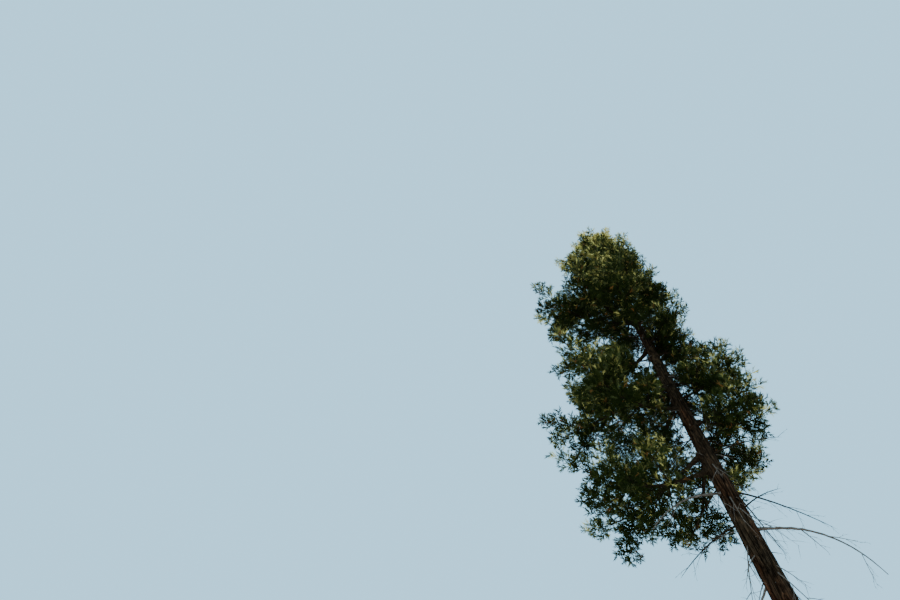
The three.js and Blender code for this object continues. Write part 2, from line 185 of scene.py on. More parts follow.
LEAF_SPREAD = (0.3, 0.65)
LEAF_LENGTH = (0.52, 0.94)
SPINE_WIDTH = 0.1
FORK_FROM = 0.18
FORK_ANGLE = 0.55
FORK_SHARE = 0.85
PIECE_TRIANGLES = 190000

# Shorter twigs between the main ones, and leafy shoots straight on the limbs.
FILLERS = 5
OPEN_FILLERS = 3
FILLER_PLACES = (0.13, 0.95)
FILLER_SPREAD = (0.7, 1.3)
FILLER_LENGTH = (0.45, 0.8)
FILLER_RADIUS = 0.6
LIMB_SHOOT_SPACING = 0.12
LIMB_SHOOT_PLACES = (0.16, 1.0)
LIMB_SHOOT_LENGTH = (0.35, 0.75)

# Leafy shoots on the trunk itself inside the crown, where no mass is near.
TRUNK_SHOOTS = 135
TRUNK_SHOOT_TOP = 38.0
TRUNK_SHOOT_LENGTH = (0.7, 2.4)
TRUNK_SHOOT_SLOPE = (-0.4, 0.3)
TRUNK_SHOOT_RADIUS = (0.006, 0.008)
TRUNK_SINK = 0.9
CLEAREST_NEAR_SIDE = 0.25
BARE_TO = 28.5
CROWN_SHARE = 0.7
FREE_SPACE = 0.75
LONGEST_SPACED = 1.0

# Bare wood on the trunk and the inner boughs: stubs, thin dead twigs, and boughs that hang bare.
STUBS = 120
STUB_HEIGHTS = (5.0, 28.0)
STUB_LENGTH = (0.12, 1.3)
STUB_SLOPE = (-1.6, 0.1)
STUB_RADIUS = 0.013
STUB_RADIUS_SPREAD = (0.6, 1.4)
STUB_BEND = -0.3
HANGING = 46
HANGING_HEIGHTS = (14.0, 28.5)
HANGING_LENGTH = (0.9, 2.4)
HANGING_SLOPE = (-0.7, 0.0)
HANGING_RADIUS = (0.012, 0.009)
HANGING_BEND = -0.35
HANGING_NEAR_SHARE = 0.35
NEAR_TWIGS = 8
NEAR_TWIG_HEIGHTS = (9.5, 16.5)
NEAR_TWIG_LENGTH = (1.1, 2.1)
NEAR_TWIG_SLOPE = (-2.6, -1.2)
NEAR_TWIG_TURN = math.radians(55)
NEAR_TWIG_RADIUS = (0.009, 0.005)
NEAR_TWIG_BEND = -0.25
INNER_TWIGS = 10
INNER_PLACES = (0.1, 0.5)
INNER_SPREAD = (0.7, 1.3)
INNER_LENGTH = (0.3, 1.2)
INNER_RADIUS = (0.006, 0.008)
INNER_BEND = -0.3
DEAD_TWIG_BEND = -0.15

# Orders of finer bare twigs: spacing, spread, share of their parent's length, bend, sides and steps.
INNER_ORDERS = ((0.12, (0.5, 1.0), 0.5, -0.1, (3, 2)),)
HANGING_ORDERS = ((0.2, (0.4, 0.9), 0.45, -0.25, (3, 3)), (0.15, (0.4, 0.9), 0.4, -0.1, (3, 2)))
DEAD_ORDERS = ((0.14, (0.4, 0.9), 0.6, -0.2, (3, 3)), (0.1, (0.4, 0.9), 0.5, -0.1, (3, 2)))
STUB_ORDERS = ((0.12, (0.4, 1.0), 0.6, -0.2, (3, 2)),)
NEAR_ORDERS = ((0.45, (0.3, 0.7), 0.7, -0.2, (4, 4)), (0.25, (0.3, 0.8), 0.5, -0.1, (3, 2)))
FINER_PLACES = (0.2, 0.98)
FINER_NARROWING = 0.5
FINER_LENGTH_SPREAD = (0.5, 1.0)
FINER_RADIUS = (0.004, 0.006)

# Sides and steps of the mesh of each kind of twig.
TWIG_DETAIL = (5, 5)
TWIGLET_DETAIL = (3, 2)
INNER_DETAIL = (4, 3)
HANGING_DETAIL = (6, 7)
DEAD_TWIG_DETAIL = (5, 6)
STUB_DETAIL = (5, 4)
NEAR_TWIG_DETAIL = (5, 6)

# Bark ridges by number, weight and seed, and their wander by cells round, rise of a cell and weight.
BARK_SIDES = 168
BARK_LEVELS = 410
BARK_CROWDING = 1.25
RIDGE_LAYERS = ((17, 0.62, 11), (31, 0.38, 12))
WANDER = ((7, 2.4, 1.0), (19, 0.7, 0.5), (33, 0.32, 0.3))
WANDER_TURN = 2.1
RIDGE_SHARPNESS = 0.6
BARK_DEPTH = 0.11
HIGHEST_RELIEF = 1.15
SPARE_NOISE_ROWS = 3

# Bridges across furrows, plates on ridges, and the trunk's swell: cells round, rise and seed.
BRIDGE_CELLS = (27, 0.5, 33)
BRIDGE_STRENGTH = 1.6
FULLEST_BRIDGE = 0.8
BRIDGE_HEIGHT = 0.85
PLATE_CELLS = ((46, 0.16, 31), (24, 0.45, 32))
PLATE_STRENGTH = 0.11
SWELL_CELLS = (5, 1.1, 35)
SWELL = 0.035

# Limbs: a collar where they leave the trunk, and knobs and a waver along them.
LIMB_SIDES = 9
LIMB_STEPS = 34
LIMB_KNOBS = 0.16
LIMB_WAVER = 0.12
COLLAR_SIZE = 0.7
COLLAR_FROM = 0.8
COLLAR_FADE = 2.5
TIP_POINT = 0.5

# The photograph: its lens, its size in pixels, and the pixels and place that set the camera.
LENS_MM = 24
SENSOR_MM = 36
PHOTO_WIDTH = 900
PHOTO_HEIGHT = 600
FOCAL_PIXELS = PHOTO_WIDTH * LENS_MM / SENSOR_MM
ZENITH_PIXEL = (484, 40)
TRUNK_PIXEL = (785, 600)
CAMERA_HEIGHT = 1.28
CAMERA_DISTANCE = 14.1

# Tints from the crown's heart outwards, as painted light and shade: painted deep shade in the heart,
# painted sunlight outside; the brown is the own colour of dead sprays. Each has a colour, a share of the
# sprays and a leaf's width.
TINTS = (
    # Painted deep shade, painted half shade, blue-green, olive and painted sunlight, then the brown of
    # dead sprays.
    ("foliage_painted_deep_shade", (0.008, 0.0135, 0.002), 0.32, 0.27),
    ("foliage_painted_half_shade", (0.022, 0.031, 0.006), 0.28, 0.24),
    ("foliage_blue_green", (0.056, 0.068, 0.023), 0.17, 0.2),
    ("foliage_olive", (0.19, 0.17, 0.045), 0.12, 0.17),
    ("foliage_sunlit", (0.68, 0.61, 0.2), 0.09, 0.15),
    ("foliage_brown", (0.15, 0.07, 0.02), 0.02, 0.15),
)

# What decides a spray's tint, and so its painted light and shade: how lit and how far out it is, how near
# the tree's top, and chance.
LIT_WEIGHT = 1.1
OUTWARD_WEIGHT = 0.4
TOP_WEIGHT = 0.8
CHANCE_WEIGHT = 0.5
TOP_FROM = 31.0
MASS_MIDDLE = 0.75

# Materials. A noise has its scale, detail, distortion and stretch; a ramp has places and colours.
BARK_ROUGHNESS = 0.93
BARK_FIBRES = (26, 6, 0.4, (1, 1, 0.12))
BARK_CRACKS = (8, 3, 0.3, (1, 1, 0.14))
BARK_FLAKES = (11, 5, 0.5, (1, 1, 0.4))
BARK_PATCHES = (0.9, 3, 0.0, (1, 1, 0.35))
# Bark colour from furrow to ridge: painted shade darkens the furrows, and all of it is painted darker as
# shade of a trunk lit from behind.
FURROW_SHADE_RAMP = (
    (0.15, (0.002, 0.0013, 0.0007)), (0.6, (0.014, 0.009, 0.005)), (1.0, (0.046, 0.03, 0.018)),
)
FIBRE_RAMP = ((0.3, (0.4, 0.37, 0.35)), (0.7, (1.2, 1.2, 1.2)))
CRACK_RAMP = (
    (0.46, (1.0, 1.0, 1.0)), (0.495, (0.22, 0.2, 0.2)),
    (0.505, (0.22, 0.2, 0.2)), (0.54, (1.0, 1.0, 1.0)),
)
FLAKE_RAMP = ((0.36, (0.5, 0.48, 0.46)), (0.52, (1.0, 1.0, 1.0)), (0.66, (1.7, 1.55, 1.4)))
PATCH_RAMP = ((0.35, (0.8, 0.84, 0.8)), (0.52, (1.0, 1.0, 1.0)), (0.66, (1.7, 0.95, 0.7)))
BARK_BUMP = 0.03
BOUGH_ROUGHNESS = 0.9
BOUGH_FLAKES = (22, 5, 0.6)
BOUGH_RAMP = ((0.3, (0.006, 0.004, 0.002)), (0.55, (0.018, 0.012, 0.007)), (0.8, (0.05, 0.035, 0.022)))
BOUGH_BUMP = 0.01
DEAD_ROUGHNESS = 0.85
DEAD_GRAIN = (14, 5, 0.8)
DEAD_RAMP = ((0.3, (0.045, 0.036, 0.028)), (0.6, (0.12, 0.1, 0.085)), (0.85, (0.26, 0.23, 0.2)))
DEAD_BUMP = 0.006
LEAF_ROUGHNESS = 0.6
LEAF_GRAIN = (60, 3)
LEAF_BUMP = 0.004
LEAF_BUMP_STRENGTH = 0.6
DULL_GLOSS = 0.02

# Light, floor and surround. A lamp has a name, direction, strength, softness in degrees and colour.
LIT_FROM = np.array((0.18, 0.21, 0.96))
LAMPS = (
    ("key", LIT_FROM, 6.5, 12, (1.0, 0.93, 0.8)),
    ("fill", (-0.5, -0.75, 0.4), 1.1, 60, (1.0, 0.97, 0.9)),
)
SURROUND_COLOUR = (0.40, 0.76, 1.0)
SURROUND_STRENGTH = 1.55
FLOOR_ROUGHNESS = 0.9
FLOOR_GRAIN = (0.6, 3)
FLOOR_RAMP = ((0.3, (0.48, 0.48, 0.47)), (0.7, (0.52, 0.52, 0.51)))
FLOOR_RADIUS = 3000
FLOOR_SIDES = 96
FURTHEST_SEEN = 8000

TAU = 2 * math.pi
WORD = 0xFFFFFFFF
SEED_STEP = 0x6D2B79F5


def seeded(seed):
    """The source's repeatable stream of numbers from 0 to 1, with the same shifts and factors."""
    state = seed

    def draw():
        nonlocal state
        state = (state + SEED_STEP) & WORD
        mixed = ((state ^ (state >> 15)) * (state | 1)) & WORD
        mixed ^= (mixed + ((mixed ^ (mixed >> 7)) * (mixed | 61))) & WORD
        return ((mixed ^ (mixed >> 14)) & WORD) / (WORD + 1)

    return draw


def between(low, high, share):
    return low + (high - low) * share


def within(span, share):
    return between(span[0], span[1], share)


def middles(count):
    """The middle of each of a number of equal steps from 0 to 1."""
    return (np.arange(count) + 0.5) / count


def unit(vectors):
    """Vectors brought to length one along their last axis."""
    vectors = np.asarray(vectors, float)
    return vectors / np.linalg.norm(vectors, axis=-1, keepdims=True)


def side_shares(azimuth):
    """Shares of the open, shut, near and far sides in a direction round the trunk."""
    x = np.cos(azimuth)
    y = np.sin(azimuth)
    return np.minimum(x, 0)**2, np.maximum(x, 0)**2, np.minimum(y, 0)**2, np.maximum(y, 0)**2


def crown_reach(height, azimuth):
    reaches = [np.interp(height, *zip(*outline)) for outline in CROWN_SIDES]
    return sum(share * reach for share, reach in zip(side_shares(azimuth), reaches))


def live_base(azimuth):
    return sum(share * base for share, base in zip(side_shares(azimuth), LIVE_BASES))


def trunk_radius(height):
    """The trunk's radius at a height, without its flutes."""
    taper = STEM_RADIUS * np.maximum(1 - height / HEIGHT, 0)**STEM_TAPER
    return np.maximum(taper + FLARE_RADIUS * np.exp(-height / FLARE_HEIGHT), TIP_RADIUS)


def flute_push(azimuth, height):
    fade = np.exp(-np.maximum(height, 0) / FLUTE_HEIGHT)
    return 1 + fade * sum(depth * np.cos(waves * azimuth + phase) for waves, depth, phase in FLUTES)


@dataclass(frozen=True)
class Limb:
    index: int
    height: float
    azimuth: float
    slope: float
    bend: float
    sweep: float
    reach: float
    base_radius: float
    tip_radius: float
    stem_from: float

    def point(self, share):
        """Points on the limb's line at a share, or at many."""
        share = np.asarray(share, float)
        out = self.reach * share
        azimuth = self.azimuth + self.sweep * share**2
        rise = self.reach * (self.slope * share + self.bend * share**3)
        return np.stack([out * np.cos(azimuth), out * np.sin(azimuth), self.height + rise], axis=-1)

    def heading(self, share):
        share = np.asarray(share, float)
        return unit(self.point(share + SHARE_STEP) - self.point(share - SHARE_STEP))

    def radius(self, share):
        return between(self.base_radius, self.tip_radius, share)

    def half_width(self):
        return mass_half_width(self.reach)


def mass_half_width(reach):
    return min(max(reach * MASS_HALF_WIDTH, NARROWEST_MASS), WIDEST_MASS)


def living_reach(height, azimuth, rise):
    """How far a limb may run so that the spray at its tip ends on the crown's outline."""
    reach = crown_reach(height, azimuth)
    for _ in range(REACH_PASSES):
        overhang = mass_half_width(reach) * MASS_OVERHANG
        outline = crown_reach(height + reach * rise, azimuth)
        reach = max(between(reach, outline - overhang, REACH_STEP), SHORTEST_REACH)
    return reach


def live_azimuth(i):
    """The golden angle's direction, or for a low limb the edge of the near side's gap."""
    azimuth = FIRST_AZIMUTH + i * GOLDEN_ANGLE
    from_near = math.remainder(azimuth - NEAR_AZIMUTH, TAU)
    in_gap = NEAR_GAP[0] < from_near < NEAR_GAP[1]
    return NEAR_AZIMUTH + NEAR_GAP[from_near > 0] if i < NEAR_GAP_LIMBS and in_gap else azimuth


def living_limb(i):
    random = seeded(LIVE_SEED + i)
    azimuth = live_azimuth(i)
    share = (i / (LIVE_LIMBS - 1))**LIVE_CROWDING
    height = between(live_base(azimuth), HIGHEST_LIVE, share)
    spread = between(-SLOPE_SPREAD, SLOPE_SPREAD, random())
    slope = between(SLOPE_LOW, SLOPE_HIGH, share**SLOPE_BEND) + spread
    reach = living_reach(height, azimuth, slope + UPTURN) * within(REACH_SPREAD, random())
    sweep = SWEEP * between(-1, 1, random())
    base_radius = max(reach * LIMB_RADIUS_SHARE, THINNEST_LIMB)
    stem_from = BOUGH_SHARE if reach >= SHORTEST_BOUGH else 0
    return Limb(i, height, azimuth, slope, UPTURN, sweep, reach, base_radius, LIMB_TIP_RADIUS, stem_from)


def dead_limb(i):
    random = seeded(DEAD_SEED + i)
    share = i / (DEAD_LIMBS - 1)
    height = between(LOWEST_DEAD, HIGHEST_DEAD, share)
    azimuth = FIRST_DEAD_AZIMUTH - i * GOLDEN_ANGLE
    reach = within(DEAD_REACH, share) * within(DEAD_REACH_SPREAD, random())
    slope = DEAD_SLOPE + between(-SLOPE_SPREAD, SLOPE_SPREAD, random())
    sweep = DEAD_SWEEP * between(-1, 1, random())
    base_radius = max(reach * DEAD_RADIUS_SHARE, THINNEST_DEAD)
    return Limb(i, height, azimuth, slope, DEAD_DROOP, sweep, reach, base_radius, DEAD_TIP_RADIUS, 0)


def frames_across(directions):
    """Level side and upper side square to each direction."""
    directions = np.atleast_2d(directions)
    level = np.stack([directions[:, 1], -directions[:, 0], np.zeros(len(directions))], axis=-1)
    long_enough = np.linalg.norm(level, axis=-1, keepdims=True) > NEARLY_UPRIGHT
    side = unit(np.where(long_enough, level, (1.0, 0.0, 0.0)))
    return side, unit(np.cross(side, directions))


def wound(forward, side, top, spread, roll, flatness=1.0):
    """Directions that lean away from forward by spread, turned round it by roll."""
    spread = np.asarray(spread)[..., None]
    roll = np.asarray(roll)[..., None]
    across = side * np.cos(roll) + top * np.sin(roll) * flatness
    return unit(forward * np.cos(spread) + across * np.sin(spread))


@dataclass
class Shoots:
    """Many shoots at once. Each leaves start along direction and bends up by a share of its length."""

    start: np.ndarray
    direction: np.ndarray
    across: np.ndarray
    length: np.ndarray
    radius: np.ndarray
    limb: np.ndarray
    bend: float = 0.0

    def __len__(self):
        return len(self.length)

    def pick(self, which):
        arrays = (self.start, self.direction, self.across, self.length, self.radius, self.limb)
        return Shoots(*(values[which] for values in arrays), self.bend)

    def point(self, which, share):
        out = self.start[which] + self.direction[which] * (self.length[which] * share)[:, None]
        out[:, 2] += self.bend * self.length[which] * share**2
        return out

    def heading(self, which, share):
        heading = self.direction[which].copy()
        heading[:, 2] += 2 * self.bend * share
        return unit(heading)

    def tips(self):
        return self.point(np.arange(len(self)), np.ones(len(self)))


def join_shoots(groups, bend=0.0):
    fields = ("start", "direction", "across", "length", "radius", "limb")
    joined = [np.concatenate([getattr(group, field) for group in groups]) for field in fields]
    return Shoots(*joined, bend)


def single_shoot(start, direction, roll, length, radius, limb):
    side, top = frames_across(direction)
    across = side * math.cos(roll) + top * math.sin(roll)
    single = [np.array([value]) for value in (length, radius, limb)]
    return Shoots(start[None], direction[None], across, *single)


def main_twigs(limb):
    """The source's twigs of one mass, wound round its stem, and the leader that ends it."""
    random = seeded(MASS_SEED + limb.index)
    if limb.height > DENSE_ABOVE:
        random()  # The source draws this one for the core of a dense mass.
    half_width = limb.half_width()
    count = round(within(TWIG_COUNT, half_width / WIDEST_MASS))
    phase = random() * TAU
    grown = []
    for k, along in enumerate(middles(count)):
        share = between(max(limb.stem_from, FIRST_TWIG), LAST_TWIG, along)
        forward = limb.heading(share)
        side, top = (across[0] for across in frames_across(forward))
        spread = within(TWIG_SPREAD, random())
        direction = wound(forward, side, top * MASS_TALLNESS, spread, phase + k * GOLDEN_ANGLE)
        fullness = math.sqrt(1 - MASS_NARROWING * along * along)
        length = half_width * fullness * within(TWIG_LENGTH, random())
        grown.append((limb.point(share), direction, length, limb.radius(share) * TWIG_RADIUS_SHARE))
    leader_length = half_width * SPRAY_SHARE * (1 - LEADER_SINK)
    grown.append((limb.point(STEM_END), limb.heading(STEM_END), leader_length, LIMB_TIP_RADIUS))
    rolls = [SPRAY_ROLL * between(-1, 1, random()) for _ in grown]
    return [single_shoot(start, direction, roll, length, radius, limb.index)
            for (start, direction, length, radius), roll in zip(grown, rolls)]


def filler_twigs(limb, random):
    """Shorter twigs of the same kind, which fill the mass between the source's own."""
    count = FILLERS if limb.height > DENSE_ABOVE else OPEN_FILLERS
    share = within(FILLER_PLACES, middles(count))
    forward = limb.heading(share)
    side, top = frames_across(forward)
    roll = random.uniform(0, TAU) + np.arange(count) * GOLDEN_ANGLE
    direction = wound(forward, side, top, random.uniform(*FILLER_SPREAD, count), roll)
    inner = np.sqrt(share / share.max())
    length = limb.half_width() * inner * random.uniform(*FILLER_LENGTH, count)
    across, _ = frames_across(direction)
    radius = limb.radius(share) * TWIG_RADIUS_SHARE * FILLER_RADIUS
    return Shoots(limb.point(share), direction, across, length, radius, np.full(count, limb.index))


def radius_for(length, rule):
    """A twig's radius from its length: the rule says what the shortest has and what a metre adds."""
    return rule[0] + rule[1] * length


def from_trunk(height, azimuth, slope, length, radius, bend=0.0):
    """Shoots that leave the trunk's side outwards, with a slope up or down."""
    out = np.stack([np.cos(azimuth), np.sin(azimuth), 0 * azimuth], axis=-1)
    start = out * (TRUNK_SINK * trunk_radius(height))[:, None]
    start[:, 2] = height
    direction = out.copy()
    direction[:, 2] = slope
    across, _ = frames_across(direction)
    return Shoots(start, unit(direction), across, length, radius, np.zeros(len(height), int), bend)


def trunk_shoots(limbs, random):
    """Leafy shoots on the trunk, where they end clear of every limb; each counts to the nearest."""
    azimuth = FIRST_AZIMUTH + np.arange(TRUNK_SHOOTS) * GOLDEN_ANGLE
    height = between(live_base(azimuth), TRUNK_SHOOT_TOP, middles(TRUNK_SHOOTS))
    length = np.minimum(within(TRUNK_SHOOT_LENGTH, random.uniform(0, 1, TRUNK_SHOOTS)),
                        crown_reach(height, azimuth) * CROWN_SHARE)
    slope = random.uniform(*TRUNK_SHOOT_SLOPE, TRUNK_SHOOTS)
    shoots = from_trunk(height, azimuth, slope, length, radius_for(length, TRUNK_SHOOT_RADIUS))
    gaps = stem_gaps(shoots.tips(), limbs)
    shoots.limb = gaps.argmin(axis=0)
    free = gaps.min(axis=0) > FREE_SPACE * np.minimum(length, LONGEST_SPACED)
    seen_bare = (side_shares(azimuth)[2] > CLEAREST_NEAR_SIDE) & (height < BARE_TO)
    return shoots.pick(free & ~seen_bare)


def side_shoots(parents, spacing, places, spread, random, flatness=1.0, rise=0.0):
    """Shoots wound along each parent by the golden angle: which parent, how far along, direction."""
    count = np.maximum(np.round(parents.length * (places[1] - places[0]) / spacing), 1).astype(int)
    which = np.repeat(np.arange(len(parents)), count)
    order = np.arange(len(which)) - np.repeat(np.cumsum(count) - count, count)
    along = (order + 0.5) / count[which]
    share = within(places, along)
    roll = random.uniform(0, TAU, len(parents))[which] + order * GOLDEN_ANGLE
    forward = parents.heading(which, share)
    side = parents.across[which]
    top = unit(np.cross(side, forward))
    direction = wound(forward, side, top, random.uniform(*spread, len(which)), roll, flatness)
    direction[:, 2] += rise
    return which, along, parents.point(which, share), unit(direction)


def stem_marks(limb):
    first = max(limb.stem_from, FIRST_MARK)
    return limb.point(np.linspace(first, 1, SPACE_MARKS))


def stem_gaps(points, limbs):
    """Distance of each point from each limb's stem, one row for each limb."""
    return np.array([np.linalg.norm(points[:, None] - stem_marks(limb)[None], axis=-1).min(axis=1)
                     for limb in limbs])


def in_own_space(points, owners, limbs):
    """Whether each point is nearer its own stem than other stems allow."""
    gaps = stem_gaps(points, limbs)
    own = gaps[owners, np.arange(len(points))]
    gaps[owners, np.arange(len(points))] = np.inf
    return gaps.min(axis=0) > own * SPACE_SHARE


def clear_of_trunk(points):
    return np.hypot(points[:, 0], points[:, 1]) > trunk_radius(points[:, 2]) * CLEAR_OF_TRUNK


def inside_solids_box(points):
    low, high = (np.array(corner) for corner in cad_box)
    return np.all((points > low) & (points < high), axis=1)


def grow_twiglets(twigs, limbs, random):
    dense = np.array([limb.height > DENSE_ABOVE for limb in limbs])[twigs.limb]
    grown = []
    for part, spacing in ((dense, TWIGLET_SPACING), (~dense, OPEN_TWIGLET_SPACING)):
        parents = twigs.pick(part)
        which, along, start, direction = side_shoots(
            parents, spacing, TWIGLET_PLACES, TWIGLET_SPREAD, random, TWIGLET_FLATNESS, TWIGLET_RISE)
        length = parents.length[which] * TWIGLET_LENGTH * (1 - TWIGLET_NARROWING * along)
        length = length * random.uniform(*TWIGLET_LENGTH_SPREAD, len(which))
        side, _ = frames_across(direction)
        radius = radius_for(length, TWIGLET_RADIUS)
        grown.append(Shoots(start, direction, side, length, radius, parents.limb[which]))
    twiglets = join_shoots(grown, TWIGLET_BEND)
    tips = twiglets.tips()
    kept = in_own_space(tips, twiglets.limb, limbs) & clear_of_trunk(tips)
    return twiglets.pick(kept)


def limb_shoots(limb, random):
    """Short leafy shoots along the limb itself, which carry sprays as twiglets do."""
    count = round(limb.reach * (LIMB_SHOOT_PLACES[1] - LIMB_SHOOT_PLACES[0]) / LIMB_SHOOT_SPACING)
    share = within(LIMB_SHOOT_PLACES, middles(count))
    forward = limb.heading(share)
    side, top = frames_across(forward)
    roll = random.uniform(0, TAU) + np.arange(count) * GOLDEN_ANGLE
    direction = wound(forward, side, top, random.uniform(*TWIGLET_SPREAD, count), roll)
    length = within(LIMB_SHOOT_LENGTH, random.uniform(0, 1, count)) * np.sqrt(share)
    radius = radius_for(length, TWIGLET_RADIUS)
    return Shoots(limb.point(share), direction, side, length, radius, np.full(count, limb.index))


def grow_sprays(twiglets, random):
    which, _, start, direction = side_shoots(
        twiglets, SPRAY_SPACING, SPRAY_PLACES, SPRAY_SPREAD, random, rise=SPRAY_RISE)
    side, _ = frames_across(direction)
    length = random.uniform(*SPRAY_LENGTH, len(which))
    owners = twiglets.limb[which]
    sprays = Shoots(start, direction, side, length, np.zeros(len(which)), owners, SPRAY_BEND)
    tips = sprays.tips()
    return sprays.pick(clear_of_trunk(tips) & inside_solids_box(tips))


def grow_leaves(sprays, width, random):
    """The leaves of each spray: a long one for its spine, and the rest wound round it.

    Width is a share of a leaf's length.
    """
    even_length = sprays.length.mean()
    spacing = even_length * (LEAF_PLACES[1] - LEAF_PLACES[0]) / LEAVES
    even = Shoots(sprays.start, sprays.direction, sprays.across, np.full(len(sprays), even_length),
                  sprays.radius, sprays.limb, sprays.bend)
    which, along, _, direction = side_shoots(even, spacing, LEAF_PLACES, LEAF_SPREAD, random)
    start = sprays.point(which, within(LEAF_PLACES, along))
    length = sprays.length[which] * random.uniform(*LEAF_LENGTH, len(which))
    side, _ = frames_across(direction)
    turn = random.uniform(0, TAU, len(which))
    side = unit(side * np.cos(turn)[:, None] + np.cross(side, direction) * np.sin(turn)[:, None])
    leaves = Shoots(start, direction, side, length, length * width / 2, sprays.limb[which])
    spines = Shoots(sprays.start, sprays.direction, sprays.across, sprays.length,
                    sprays.length * SPINE_WIDTH / 2, sprays.limb, sprays.bend)
    return [leaves, spines]


def leaf_mesh(leaves):
    """Each leaf as two slim blades: a straight one, and one that forks off it and stands across it."""
    count = len(leaves)
    everyone = np.arange(count)
    hand = np.where(everyone % 2, 1.0, -1.0)[:, None]
    out = leaves.across * leaves.radius[:, None]
    fork_out = unit(np.cross(leaves.across, leaves.direction)) * (leaves.radius * FORK_SHARE)[:, None]
    fork_root = leaves.point(everyone, np.full(count, FORK_FROM))
    fork = leaves.direction * math.cos(FORK_ANGLE) + leaves.across * hand * math.sin(FORK_ANGLE)
    fork_tip = fork_root + fork * (leaves.length * FORK_SHARE)[:, None]
    straight = (leaves.start - out, leaves.start + out, leaves.tips())
    forked = (fork_root - fork_out, fork_root + fork_out, fork_tip)
    points = np.stack([*straight, *forked], axis=1).reshape(-1, 3)
    return points, np.arange(len(points)).reshape(-1, 3)


def ring_faces(rings, sides, tip):
    """Triangles between rings of points, closed by a fan at the tip where there is one."""
    faces = []
    for ring in range(rings - 1):
        for k in range(sides):
            here = ring * sides + k
            beside = ring * sides + (k + 1) % sides
            faces += [(here, beside, beside + sides), (here, beside + sides, here + sides)]
    if tip:
        last = (rings - 1) * sides
        faces += [(last + k, last + (k + 1) % sides, rings * sides) for k in range(sides)]
    return np.array(faces)


def wood_mesh(shoots, sides, steps):
    """Tapering twigs: rings along each shoot and a point at its tip."""
    count = len(shoots)
    which = np.repeat(np.arange(count), steps)
    share = np.tile(np.arange(steps) / steps, count)
    side, top = frames_across(shoots.heading(which, share))
    radius = (shoots.radius[which] * (1 - TWIG_TAPER * share))[:, None, None]
    turn = (TAU * np.arange(sides) / sides)[None, :, None]
    ring = side[:, None] * np.cos(turn) + top[:, None] * np.sin(turn)
    points = shoots.point(which, share)[:, None] + ring * radius
    points = np.concatenate([points.reshape(count, -1, 3), shoots.tips()[:, None]], axis=1)
    faces = ring_faces(steps, sides, tip=True)
    offsets = np.arange(count) * points.shape[1]
    return points.reshape(-1, 3), (offsets[:, None, None] + faces[None]).reshape(-1, 3)


def join_meshes(parts):
    points = []
    faces = []
    total = 0
    for part_points, part_faces in parts:
        points.append(part_points)
        faces.append(part_faces + total)
        total += len(part_points)
    return np.concatenate(points), np.concatenate(faces)


def eased(share):
    """A share from 0 to 1 that starts and ends level."""
    return share**2 * (3 - 2 * share)


def ripple(azimuth, height, cells, rise, seed):
    """Smooth noise from -1 to 1 over the trunk, in a number of cells round it, each rise high."""
    rows = int(HEIGHT / rise) + SPARE_NOISE_ROWS
    lattice = np.random.default_rng(seed).uniform(-1, 1, (rows, cells))
    column = (azimuth / TAU % 1) * cells
    row = height / rise
    left = np.floor(column).astype(int)
    low = np.floor(row).astype(int)
    across = eased(column - left)
    up = eased(row - low)
    right = (left + 1) % cells
    left = left % cells
    high = low + 1
    lower = between(lattice[low, left], lattice[low, right], across)
    upper = between(lattice[high, left], lattice[high, right], across)
    return between(lower, upper, up)


def bark_relief(azimuth, height):
    """Height of the bark's surface: 0 at the bottom of a furrow, 1 on a ridge."""
    relief = 0
    for ridges, weight, seed in RIDGE_LAYERS:
        wander = sum(share * ripple(azimuth, height, cells, rise, seed + cells)
                     for cells, rise, share in WANDER)
        wave = np.abs(np.sin(azimuth * ridges / 2 + WANDER_TURN * wander))
        relief = relief + weight * wave**RIDGE_SHARPNESS
    bridges = np.clip(BRIDGE_STRENGTH * ripple(azimuth, height, *BRIDGE_CELLS), 0, FULLEST_BRIDGE)
    relief = between(relief, BRIDGE_HEIGHT, bridges)
    plates = sum(ripple(azimuth, height, *cells) for cells in PLATE_CELLS)
    return np.clip(relief + PLATE_STRENGTH * plates, 0, HIGHEST_RELIEF)


def trunk_mesh():
    """The fluted trunk with its bark's relief, and the relief of each point for its colour, which paints
    shade into the furrows.
    """
    azimuth = np.arange(BARK_SIDES) * TAU / BARK_SIDES
    height = TRUNK_TOP * np.linspace(0, 1, BARK_LEVELS)**BARK_CROWDING
    azimuth, height = np.meshgrid(azimuth, height)
    relief = bark_relief(azimuth, height)
    radius = trunk_radius(height) * flute_push(azimuth, height)
    swell = SWELL * (ripple(azimuth, height, *SWELL_CELLS) - 1) / 2
    radius = radius * (1 + swell - BARK_DEPTH * (1 - relief))
    points = np.stack([radius * np.cos(azimuth), radius * np.sin(azimuth), height], axis=-1)
    points = np.concatenate([points.reshape(-1, 3), [(0, 0, TRUNK_TOP), (0, 0, 0)]])
    faces = ring_faces(BARK_LEVELS, BARK_SIDES, tip=True)
    cut = [(len(points) - 1, (k + 1) % BARK_SIDES, k) for k in range(BARK_SIDES)]
    return points, np.concatenate([faces, cut]), np.append(relief.ravel(), (1.0, 1.0))


